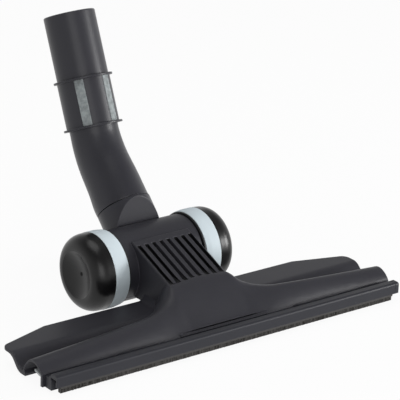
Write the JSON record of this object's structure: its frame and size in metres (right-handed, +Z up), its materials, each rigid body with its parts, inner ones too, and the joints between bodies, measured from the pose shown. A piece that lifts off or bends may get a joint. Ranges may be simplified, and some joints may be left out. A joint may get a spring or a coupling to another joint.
{
  "type": "vacuum floor brush head",
  "caption": "Wide wheeled floor head for a vacuum cleaner, with a front brush strip, a tilting neck and a bent swivelling tube that joins the wand.",
  "frame": {"origin": "centre of the bounding box's base, on the floor under the head", "axes": "+X along the head's width to its right as it is pushed towards -Y, -Y to the front where the brush is, +Z up"},
  "size_m": [0.277, 0.2105, 0.1766],
  "materials": {
    "shell_plastic": "satin charcoal moulding",
    "tube_plastic": "satin charcoal moulding",
    "rail_plastic": "satin dark grey extrusion",
    "cap_plastic": "black, soft sheen",
    "core_plastic": "black moulding",
    "band_rubber": "pale blue-grey soft band",
    "grip_rubber": "mid grey grip",
    "seal_rubber": "black",
    "steel": "plated",
    "channel_metal": "bright",
    "bristle_nylon": "dark nylon row",
    "lip_plastic": "light grey"
  },
  "bodies": {
    "head": {"upper_shell": "shell_plastic", "drum_cover": "shell_plastic", "drum_cover_screws": "steel", "axle_plate_left": "core_plastic", "axle_plate_right": "core_plastic", "wheel_axle_left": "steel", "wheel_axle_right": "steel", "axle_clip_left": "steel", "axle_clip_right": "steel", "front_rail": "rail_plastic", "rail_end_stop": "rail_plastic", "rail_screws": "steel", "brush_channel": "channel_metal", "brush_bristles": "bristle_nylon", "inner_lip": "lip_plastic"},
    "neck": {"swivel_neck": "tube_plastic", "drum_seal_left": "seal_rubber", "drum_seal_right": "seal_rubber", "swivel_retainer": "core_plastic", "swivel_seal": "seal_rubber"},
    "elbow": {"elbow_tube": "tube_plastic", "collar_sleeve": "tube_plastic", "collar_grip_strips": "grip_rubber"},
    "left_wheel": {"wheel_core_left": "core_plastic", "wheel_band_left": "band_rubber", "hub_cap_left": "cap_plastic"},
    "right_wheel": {"wheel_core_right": "core_plastic", "wheel_band_right": "band_rubber", "hub_cap_right": "cap_plastic"}
  },
  "joints": [
    {"name": "neck_tilt", "type": "hinge", "parent": "head", "child": "neck", "pos_m": [0, -0.00605, 0.026], "axis": [-1, 0, 0], "range_deg": [0, 40]},
    {"name": "elbow_swivel", "type": "hinge", "parent": "neck", "child": "elbow", "pos_m": [0, 0.02131, 0.05337], "axis": [0, 0.7071, 0.7071], "continuous": true},
    {"name": "left_wheel_spin", "type": "hinge", "parent": "head", "child": "left_wheel", "pos_m": [-0.037, -0.00605, 0.026], "axis": [1, 0, 0], "continuous": true},
    {"name": "right_wheel_spin", "type": "hinge", "parent": "head", "child": "right_wheel", "pos_m": [0.037, -0.00605, 0.026], "axis": [1, 0, 0], "continuous": true}
  ]
}
